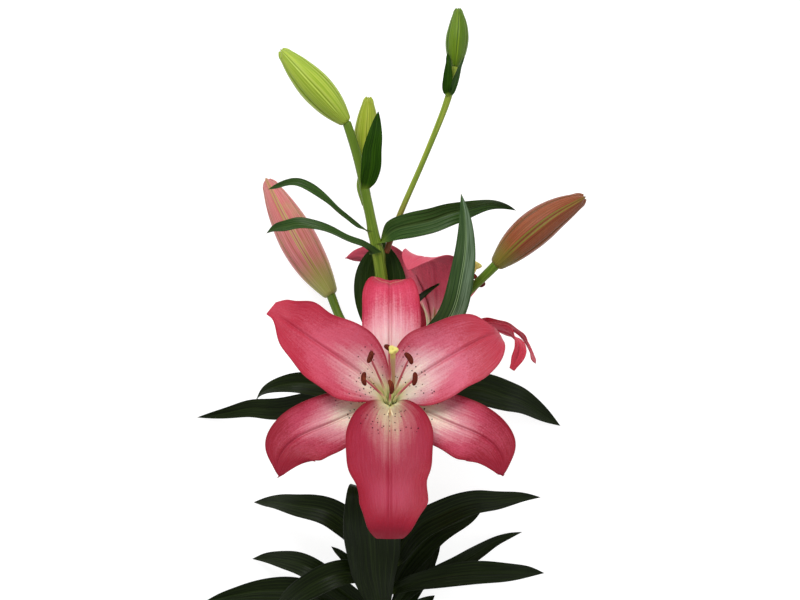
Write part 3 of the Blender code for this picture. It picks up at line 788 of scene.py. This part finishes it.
green_bud = bud_skin("green_bud_skin", (0.20, 0.30, 0.015), (0.37, 0.45, 0.058), None, 0,
                     ((0.44, 0.52, 0.10), 0.5))
small_bud = bud_skin("small_bud_skin", (0.20, 0.26, 0.010), (0.34, 0.39, 0.036), None, 0,
                     ((0.40, 0.42, 0.06), 0.6))
young_bud = bud_skin("young_bud_skin", (0.050, 0.110, 0.001), (0.120, 0.195, 0.003), None, 0,
                     ((0.17, 0.25, 0.012), 0.5))
pink_bud = bud_skin("pink_bud_skin", (0.28, 0.30, 0.06), (0.42, 0.38, 0.13),
                    ((0.39, 0.060, 0.068), (0.57, 0.215, 0.205)), 0.12, ((0.30, 0.26, 0.06), 0.8))
russet_bud = bud_skin("russet_bud_skin", (0.105, 0.095, 0.008), (0.20, 0.155, 0.022),
                      ((0.150, 0.028, 0.008), (0.27, 0.073, 0.026)), 0.10, ((0.14, 0.15, 0.015), 0.85))
grow_bud("bud_green_left", green_bud, "green_bud", 1.3, stem_line[::8])
grow_bud("bud_green_small", small_bud, "green_bud", 2.1, [stalk_ends["stalk_green_small"]])
grow_bud("bud_green_top", young_bud, "green_bud", 3.4, [stalk_ends["stalk_green_top"]])
grow_bud("bud_pink", pink_bud, "pink_bud", 4.7, [stalk_ends["stalk_pink"]])
grow_bud("bud_russet", russet_bud, "russet_bud", 5.2, [stalk_ends["stalk_russet"]])

# ---- The petals ----
# Six petals make each bloom: three narrow outer ones behind three broad inner ones, soft and fleshy, with
# a groove down the middle that shows as a keel behind. Pink, with a pale spotted throat.
PETAL_ROWS, PETAL_COLUMNS = 130, 64
BLUNT_FROM = 0.82  # along the petal, where the blunt end of a rolled tip has its full width
# The foot's green-yellow is its own colour, but it is set paler than it is to lift the shade deep in the
# throat: partly painted light.
CLAW = (0.90, 0.88, 0.58)  # the green-yellow of a petal's foot


def apart(a, b):
    return calc("ABSOLUTE", calc("SUBTRACT", a, b))


def unsettle(value, *effects):
    """Adds so much of each uneven effect to the value, and keeps it where it was on average."""
    for effect, amount in effects:
        value = plus(value, times(calc("SUBTRACT", effect, 0.5), amount))
    return value


def petal_skin(name, tones, flare, claw=0.26, narrowing=0.36, spotted=True, blush=0.0, lip=None, sheen=None):
    """tones are the throat's white, the light pink around it, the pink and the crimson of tip and margins.

    flare is how far the pale throat reaches along the petal, claw how far its green-yellow foot does,
    narrowing how much less of either there is at the margins, and blush how pink the midrib stays. lip is
    the place along it of a pale line across, where it is rolled back, and sheen that of a paler patch."""
    white, light, pink, deep = tones
    skin, place, span, body = new_skin(name, 0.5, 0.12, 0.14)
    side = calc("ABSOLUTE", place[0])
    split = wire("SeparateXYZ", span).outputs
    across = calc("ABSOLUTE", split[0])
    veins = wire("CombineXYZ", times(place[0], 2.4), 0.0, split[2]).outputs[0]
    streaks = use(fibres, veins, 3.2, 0.22, place[2])[0]
    threads, hair = use(fibres, veins, 8.5, 0.30, place[2])
    clouds, pores = use(patches, body, 34.0)
    grain = use(patches, body, 900.0)[0]
    reach = plus(place[1], times(calc("POWER", side, 1.6), narrowing))
    if blush:
        midrib = overlap((across, 0.50, 0.08), (place[1], 0.12, 0.30))
        reach = plus(reach, times(midrib, blush))
    reach = unsettle(reach, (streaks, 0.13), (threads, 0.20), (clouds, 0.14), (grain, 0.12))
    margin = times(calc("POWER", side, 3.6), 0.60)
    depth = plus(margin, times(fade(place[1], 0.50, 0.96), 0.85))
    depth = unsettle(depth, (threads, 0.55), (clouds, 1.3), (grain, 0.9))
    colour = glaze(pink, deep, 1, (depth, -0.1, 0.85))
    colour = glaze(colour, light, 1, (reach, flare + 0.27, flare + 0.03))
    colour = glaze(colour, white, 1, (reach, flare + 0.10, flare - 0.10))
    colour = glaze(colour, [c**0.78 for c in pink], 0.16, (hair, 0.42, 0.64))
    # Painted sheen: a paler patch across the petal, where light glances off it.
    if sheen:
        away = apart(place[1], sheen)
        colour = glaze(colour, [c**0.75 for c in pink], 0.55, (away, 0.15, 0.01), (side, 0.95, 0.25))
    colour = glaze(colour, deep, 0.38, (across, 0.035, 0.085), (across, 0.20, 0.11),
                   (place[1], 0.22, 0.42), (place[1], 0.99, 0.9))
    colour = glaze(colour, dim(deep, 0.8), 0.6, (side, 0.90, 0.985), (place[1], 0.1, 0.3))
    if lip:
        colour = glaze(colour, (0.56, 0.30, 0.20), 0.55, (apart(place[1], lip), 0.011, 0.004))
    foot = unsettle(plus(place[1], times(side, 0.06)), (streaks, 0.10))
    colour = glaze(colour, CLAW, 1, (foot, claw, claw * 0.45))
    colour = glaze(colour, (0.42, 0.50, 0.12), 0.35,
                   (across, 0.06, 0.12), (across, 0.34, 0.22), (place[1], claw, claw * 0.5))
    # Two pale ridges part from the foot, and between them lies the brown furrow that holds the nectar.
    spread = plus(0.05, times(calc("SUBTRACT", place[1], 0.20), 1.7))
    colour = glaze(colour, (0.88, 0.80, 0.50), 0.8,
                   (apart(across, spread), 0.045, 0.015), (place[1], 0.30, 0.27))
    colour = glaze(colour, (0.36, 0.17, 0.035), 0.8,
                   (across, 0.09, 0.03), (place[1], 0.31, 0.26), (place[1], 0.14, 0.22))
    relief = plus(times(threads, 1.2), times(grain, 0.6))
    if spotted:
        shifted = plus(split[0], times(place[2], 9.0))
        flat = wire("CombineXYZ", shifted, split[2], 0.0).outputs[0]
        dots = wire("TexVoronoi", flat, None, 2.7, voronoi_dimensions="2D", feature="F1")
        chance = wire("SeparateXYZ", dots.outputs["Color"]).outputs[0]
        size = times(dots.outputs["Distance"], plus(0.6, chance))
        band = overlap((place[1], 0.19, 0.24), (place[1], 0.46, 0.36), (side, 0.92, 0.66))
        spots = overlap((size, 0.20, 0.12), (chance, 0.46, 0.48), (band, 0.2, 0.5))
        colour = mix(times(spots, 0.95), colour, (0.035, 0.002, 0.006))
        relief = plus(relief, times(spots, 1.5))
    return finish_skin(skin, colour, relief, 0.00018, (pores, 0.36, 0.25))


def petal_back_skin(name, rose, keel):
    """The outside of a petal: paler and duller, with a green-white keel that fades towards the tip."""
    skin, place, span, body = new_skin(name, 0.55, 0.12, 0.12)
    side = calc("ABSOLUTE", place[0])
    across = calc("ABSOLUTE", wire("SeparateXYZ", span).outputs[0])
    threads = use(fibres, span, 16.0, 0.35, place[2])[0]
    clouds, pores = use(patches, body, 40.0)
    colour = glaze(rose, dim(rose, 0.62), 1, (threads, 0.32, 0.7))
    colour = glaze(colour, keel, 0.8, (across, 0.42, 0.10), (place[1], 0.75, 0.25))
    colour = glaze(colour, CLAW, 1, (place[1], 0.24, 0.10))
    colour = glaze(colour, dim(rose, 0.5), 0.45,
                   (across, 0.06, 0.10), (across, 0.20, 0.13), (place[1], 0.10, 0.30))
    colour = glaze(colour, dim(rose, 0.6), 0.5, (side, 0.93, 0.985))
    relief = plus(threads, times(clouds, 0.3))
    return finish_skin(skin, colour, relief, 0.00014, (pores, 0.42, 0.25))


def bulge(points, place, span, margins):
    """Moves stretches of the margins outwards: side, place along, spread and millimetres for each."""
    across = unit(points[:, -1] - points[:, 0] + 1e-9)
    moved = np.zeros(points.shape[:2])
    for side, at, spread, far in margins:
        share = np.clip(place[..., 0] * side, 0, 1) ** 1.5
        moved += side * far * MM * share * np.exp(-(((place[..., 1] - at) / spread) ** 2))
    span[..., 0] += moved * 100
    return points + across[:, None] * moved[..., None]


def grow_petal(node, foot, front, back, seed, margins, end, dips=()):
    """margins are as in bulge, and end is the half width of a blunt tip; dips press the middle down, at a
    place along with a spread, a depth and a width. Depths and widths are in millimetres."""
    points = sheet_of(node, [foot], PETAL_ROWS, PETAL_COLUMNS)[0]
    place, span = blade_marks(points, seed)
    signed, along = place[..., 0], place[..., 1]
    if end:
        way = unit(points[-6, -1] - points[-6, 0])
        half = np.linalg.norm(points[:, -1] - points[:, 0], axis=1)[:, None] / 2
        round_end = np.sqrt(1 - (np.maximum(along - BLUNT_FROM, 0) / (1.035 - BLUNT_FROM)) ** 2)
        blunt = end * MM * round_end * rise(BLUNT_FROM - 0.1, BLUNT_FROM, along)
        points = points + way * (signed * ((half**4 + blunt**4) ** 0.25 - half))[..., None]
    points = bulge(points, place, span, margins)
    across = span[..., 0] * 10  # millimetres
    channel = rise(0.02, 0.16, along) * rise(1.0, 0.82, along)
    groove = -0.9 * np.exp(-((across / 1.1) ** 2)) + 0.3 * np.exp(-(((np.abs(across) - 2.6) / 1.5) ** 2))
    veins = 0.05 * np.cos(2 * math.pi * signed * 10)
    waves = np.sin(2 * math.pi * (2.2 * along + seed) + signed * 1.1)
    waves += 0.45 * np.sin(2 * math.pi * (5.3 * along - seed * 2))
    ripples = np.abs(signed) ** 4 * waves * rise(0.2, 0.5, along)
    lift = (groove + veins) * channel + ripples * rise(1.0, 0.9, along)
    for at, spread, deep, wide in dips:
        lift = lift - deep * np.exp(-(((along - at) / spread) ** 2) - (across / wide) ** 2)
    points = points + face_normals(points) * (lift * MM)[..., None]
    piece = grow_sheet(node + "_flesh", points, place, span, 0.95 * MM, 0.4 * MM, True)
    settle(piece, node, "petal", front, back)


# The throat's whites in these tones are paler than the petals' own, to lift the shade deep in the cup:
# partly painted light.
rose_tones = ((0.82, 0.74, 0.58), (0.60, 0.275, 0.300), (0.490, 0.078, 0.124), (0.350, 0.017, 0.038))
inner_front = petal_skin("inner_petal", rose_tones, 0.385, blush=0.06)
fair_tones = ((0.82, 0.76, 0.62), (0.62, 0.350, 0.370), (0.510, 0.110, 0.165), (0.345, 0.026, 0.046))
fair_front = petal_skin("fair_petal", fair_tones, 0.42, blush=0.06)
outer_tones = ((0.78, 0.70, 0.55), (0.56, 0.235, 0.265), (0.390, 0.042, 0.082), (0.220, 0.007, 0.018))
outer_front = petal_skin("outer_petal", outer_tones, 0.47, claw=0.40, narrowing=0.26)
top_tones = ((0.76, 0.56, 0.54), (0.68, 0.32, 0.36), (0.51, 0.050, 0.104), (0.37, 0.016, 0.040))
top_front = petal_skin("top_petal", top_tones, 0.47, narrowing=0.16, spotted=False, lip=0.868)
# The bottom petal's tones are darker than the other petals' as painted shade, for its slope away from the
# lamp, and its crimson tip is lifted a little against the shade it rolls into.
low_shaded_tones = ((0.46, 0.385, 0.25), (0.37, 0.115, 0.125), (0.265, 0.017, 0.039), (0.250, 0.009, 0.023))
low_shaded_front = petal_skin("low_petal", low_shaded_tones, 0.375, narrowing=0.40, sheen=0.76)
petal_back = petal_back_skin("petal_back", (0.60, 0.13, 0.17), (0.50, 0.46, 0.25))
# The rear bloom lies in the front bloom's shadow, so the skins of its inner faces and of the near petal's
# back are paler than its petals are: painted light that lifts the shadow. On the near petal the pinks are
# raised most for its shaded part, and its crimson tip, where the lamp falls, is kept darker: painted shade.
rear_lifted_tones = ((0.66, 0.44, 0.32), (0.58, 0.15, 0.18), (0.54, 0.052, 0.092), (0.40, 0.022, 0.042))
near_lit_tones = ((0.84, 0.60, 0.44), (0.82, 0.27, 0.31), (0.78, 0.105, 0.170), (0.44, 0.058, 0.092))
near_lit_front = petal_skin("near_petal", near_lit_tones, 0.24, spotted=False)
rear_lifted_back = petal_back_skin("rear_petal_back", (0.62, 0.120, 0.175), (0.60, 0.52, 0.34))
rear_lifted_front = petal_skin("rear_petal", rear_lifted_tones, 0.22, spotted=False)
far_back = petal_back_skin("far_petal_back", (0.60, 0.070, 0.115), (0.52, 0.44, 0.25))
FRONT_SKINS = {
    "top": top_front,
    "upper_right": fair_front,
    "lower_left": outer_front,
    "lower_right": outer_front,
    "bottom": low_shaded_front,
}

# Where the margins stand out or draw in, as in bulge; the positive side is on the right, seen from the root.
MARGINS = {
    "top": [(-1, 0.58, 0.14, -2.0), (-1, 0.88, 0.10, -1.5), (1, 0.88, 0.10, -1.5)],
    "upper_left": [(1, 0.96, 0.05, 4.5), (1, 0.82, 0.08, 2.5), (1, 0.66, 0.10, -2.6),
                   (-1, 0.92, 0.08, -4.5), (-1, 0.77, 0.10, -3.0)],
    "upper_right": [(-1, 0.60, 0.12, -1.6), (-1, 0.92, 0.05, -4.0), (1, 0.80, 0.12, 2.4)],
    "lower_left": [(-1, 0.72, 0.16, 3.4), (-1, 0.88, 0.07, 9.0),
                   (-1, 0.96, 0.05, 2.5), (1, 0.92, 0.06, -3.2)],
    "lower_right": [(1, 0.72, 0.16, 3.8), (1, 0.88, 0.07, 9.0),
                    (1, 0.96, 0.05, 2.5), (-1, 0.92, 0.06, -3.2)],
    "bottom": [(-1, 0.80, 0.05, 2.6), (-1, 0.69, 0.05, -1.4),
               (1, 0.74, 0.08, -2.4), (1, 0.86, 0.06, -2.0)],
}
REAR_MARGINS = {
    "left": [(-1, 0.50, 0.20, 2.0), (1, 0.50, 0.20, 2.0), (-1, 0.86, 0.10, -3.0), (1, 0.86, 0.10, -3.0)],
    "near": [(1, 0.6, 0.3, 1.2), (-1, 0.6, 0.3, 1.2)],
    "right_near": [(1, 0.80, 0.12, -2.2), (-1, 0.80, 0.12, -2.2)],
}
DIPS = {"top": [(0.86, 0.08, 3.0, 11.0)]}
ENDS = {"bottom": 15.0, "upper_left": 8.5, "upper_right": 8.0}
REAR_ENDS = {"right": 8.0, "right_near": 4.0}
for number, node in enumerate(named("front_tepal_")):
    part = node.removeprefix("front_tepal_")
    grow_petal(node, stalk_ends["front_bloom_stalk"], FRONT_SKINS.get(part, inner_front), petal_back,
               0.31 + number * 0.73, MARGINS[part], ENDS.get(part, 0.0), DIPS.get(part, ()))
for number, node in enumerate(named("rear_tepal_")):
    part = node.removeprefix("rear_tepal_")
    back = rear_lifted_back if part == "near" else far_back
    front = near_lit_front if part in ("near", "left") else rear_lifted_front
    grow_petal(node, stalk_ends["rear_bloom_stalk"], front, back, 5.2 + number * 0.61,
               REAR_MARGINS.get(part, ()), REAR_ENDS.get(part, 0.0))

# ---- The stamens ----
# Six in each bloom: a slender filament, green at its root and pink above, that carries a bean-shaped
# anther across its tip, covered in rust-brown pollen.


def filament_skin():
    skin, place, span, _ = new_skin("filament", 0.45, 0.2, 0.1)
    streaks = use(fibres, span, 40.0, 1.0, place[2])[0]
    green = mix(streaks, (0.78, 0.80, 0.42), (0.90, 0.88, 0.62))
    pink = mix(streaks, (0.46, 0.06, 0.09), (0.64, 0.18, 0.20))
    return finish_skin(skin, glaze(green, pink, 1, (place[1], 0.34, 0.66)), streaks, 0.00008)


def pollen_skin():
    skin, place, _, body = new_skin("pollen", 0.85, 0.15)
    clouds = use(patches, body, 160.0)[0]
    grains = wire("TexVoronoi", body, None, 3200.0, feature="F1").outputs["Distance"]
    colour = glaze((0.150, 0.018, 0.007), (0.045, 0.005, 0.002), 1, (grains, 0.2, 0.8))
    colour = glaze(colour, (0.26, 0.045, 0.014), 0.5, (clouds, 0.45, 0.7))
    colour = glaze(colour, (0.05, 0.006, 0.003), 0.6, (place[0], 0.16, 0.02))
    return finish_skin(skin, colour, calc("SUBTRACT", 1.0, grains), 0.00018)


filament_flesh, pollen = filament_skin(), pollen_skin()
FILAMENT_ROWS, FILAMENT_SIDES = 60, 16
ANTHER_ROWS, ANTHER_SIDES = 44, 32


def grow_stamen(node, foot, seed):
    rings = rings_of(node, [foot])
    v = np.linspace(0, 1, FILAMENT_ROWS)
    line = spline(7, v) @ np.array([ring.mean(0) for ring in rings[1:8]])
    radii = (1.75 - 0.85 * rise(0.0, 0.35, v) - 0.2 * rise(0.3, 0.8, v) - 0.25 * rise(0.9, 1.0, v)) * MM
    piece = grow(node + "_filament", *cap_ends(*roll(line, tube_radii(radii, FILAMENT_SIDES), seed=seed)))
    settle(close_up(piece), node, "stamen", filament_flesh)
    widest = rings[8]
    gaps = [np.linalg.norm(widest[k] - widest[k + 3]) for k in range(3)]
    k = int(np.argmax(gaps))
    middle = (rings[8].mean(0) + rings[9].mean(0)) / 2
    long_way = unit(widest[k + 3] - widest[k])
    reach = max(gaps) / 2
    up = unit(rings[10].mean(0) - rings[7].mean(0))
    bow = unit(np.cross(long_way, up))
    t = np.linspace(-1, 1, ANTHER_ROWS)
    bend = math.sin(seed * 7.0) * 0.4 + 1.0
    line = middle + long_way * (t * reach)[:, None]
    line = line + bow * ((0.5 - t**2) * bend * MM)[:, None] - up * ((t**2) * 0.5 * MM)[:, None]
    turns = np.linspace(0, 2 * math.pi, ANTHER_SIDES + 1)
    off = np.abs((turns / math.pi + 0.5) % 1 - 0.5) * 2
    profile = np.sqrt(np.clip(1 - np.abs(t) ** 3.2, 0.0, 1)) * 1.8 * MM
    profile[[0, -1]] = 0.25 * MM
    shape = 1 + 0.10 * np.cos(2 * turns) - 0.20 * np.exp(-((off / 0.16) ** 2))
    rough = 1 + 0.03 * np.sin(turns[None] * 9 + t[:, None] * 23 + seed)
    points, place, span = roll(line, profile[:, None] * shape[None] * rough, start=up)
    place[..., 0] = off[None]
    piece = grow(node + "_anther", *cap_ends(points, place, span))
    settle(close_up(piece), None, "stamen", pollen)


for bloom in ("front", "rear"):
    for number in range(1, 7):
        grow_stamen(f"{bloom}_stamen_{number}", stalk_ends[f"{bloom}_bloom_stalk"], number * 1.37)

# ---- The pistils ----
# In the middle of each bloom stands the ribbed green seed vessel, with a long pale style that ends in a
# sticky, three-lobed stigma.


def pistil_skin():
    skin, place, span, _ = new_skin("pistil", 0.4, 0.25, 0.1)
    streaks = use(fibres, span, 18.0, 0.6, place[2])[0]
    vessel = mix(streaks, (0.62, 0.70, 0.30), (0.82, 0.84, 0.50))
    style = mix(streaks, (0.42, 0.22, 0.12), (0.56, 0.46, 0.22))
    colour = glaze(vessel, style, 1, (place[1], 0.24, 0.42))
    colour = glaze(colour, (0.56, 0.49, 0.13), 1, (place[1], 0.84, 0.90))
    return finish_skin(skin, colour, streaks, 0.0001)


pistil_flesh = pistil_skin()
PISTIL_ROWS, PISTIL_SIDES = 90, 48
STYLE_BOW = 1.6 * MM
STIGMA_DEPTH = 4.2 * MM
# The stigma's outline: how far out and how far up from the style's end, in millimetres.
STIGMA = [(1.5, -3.2), (2.0, -2.4), (2.7, -1.2), (3.1, 0.0), (3.0, 0.9), (2.3, 1.5), (1.3, 1.4), (0.4, 0.9)]


def grow_pistil(node, foot, seed):
    rings = rings_of(node, [foot])
    line, radii = centre_line(rings, PISTIL_ROWS)
    bow = np.sin(np.linspace(0, math.pi, PISTIL_ROWS)) ** 2
    line = line - unit(np.cross(line[-1] - line[0], rings[0][0] - line[0])) * (bow * STYLE_BOW)[:, None]
    head = unit(line[-1] - line[-6])
    top = line[-1]
    keep = lengths(line) < lengths(line)[-1] - STIGMA_DEPTH
    line, radii = line[keep], np.minimum(radii[keep], 1.7 * MM)
    turns = np.linspace(0, 2 * math.pi, PISTIL_SIDES + 1)
    v = np.linspace(0, 1, len(line))[:, None]
    ribs = 0.12 * np.abs(np.cos(3 * turns))[None] * rise(0.34, 0.22, v)
    ribs = ribs + 0.05 * np.cos(3 * turns)[None] * rise(0.7, 1.0, v)
    knots = spline(len(STIGMA), np.linspace(0, 1, 30)) @ np.array(STIGMA) * MM
    cleft = np.exp(-((np.abs((turns * 3 / (2 * math.pi)) % 1 - 0.5) / 0.1) ** 2))
    lobes = (0.20 * np.cos(3 * turns) - 0.10 * cleft)[None] * rise(1.4 * MM, 3.5 * MM, knots[:, :1])
    heads = unit(np.gradient(line, axis=0))
    heads = np.concatenate([heads, np.repeat(head[None], len(knots), axis=0)])
    line = np.concatenate([line, top + head * knots[:, 1:]])
    radii = np.concatenate([radii[:, None] * (1 + ribs), knots[:, :1] * (1 + lobes)])
    parts = roll(line, radii, start=(1.0, 0.0, 0.0), seed=seed, heads=heads, girth=0.2)
    piece = grow(node + "_flesh", *cap_ends(*parts))
    settle(close_up(piece), node, "pistil", pistil_flesh)


for number, bloom in enumerate(("front", "rear")):
    grow_pistil(f"{bloom}_pistil", stalk_ends[f"{bloom}_bloom_stalk"], 3.3 + number)
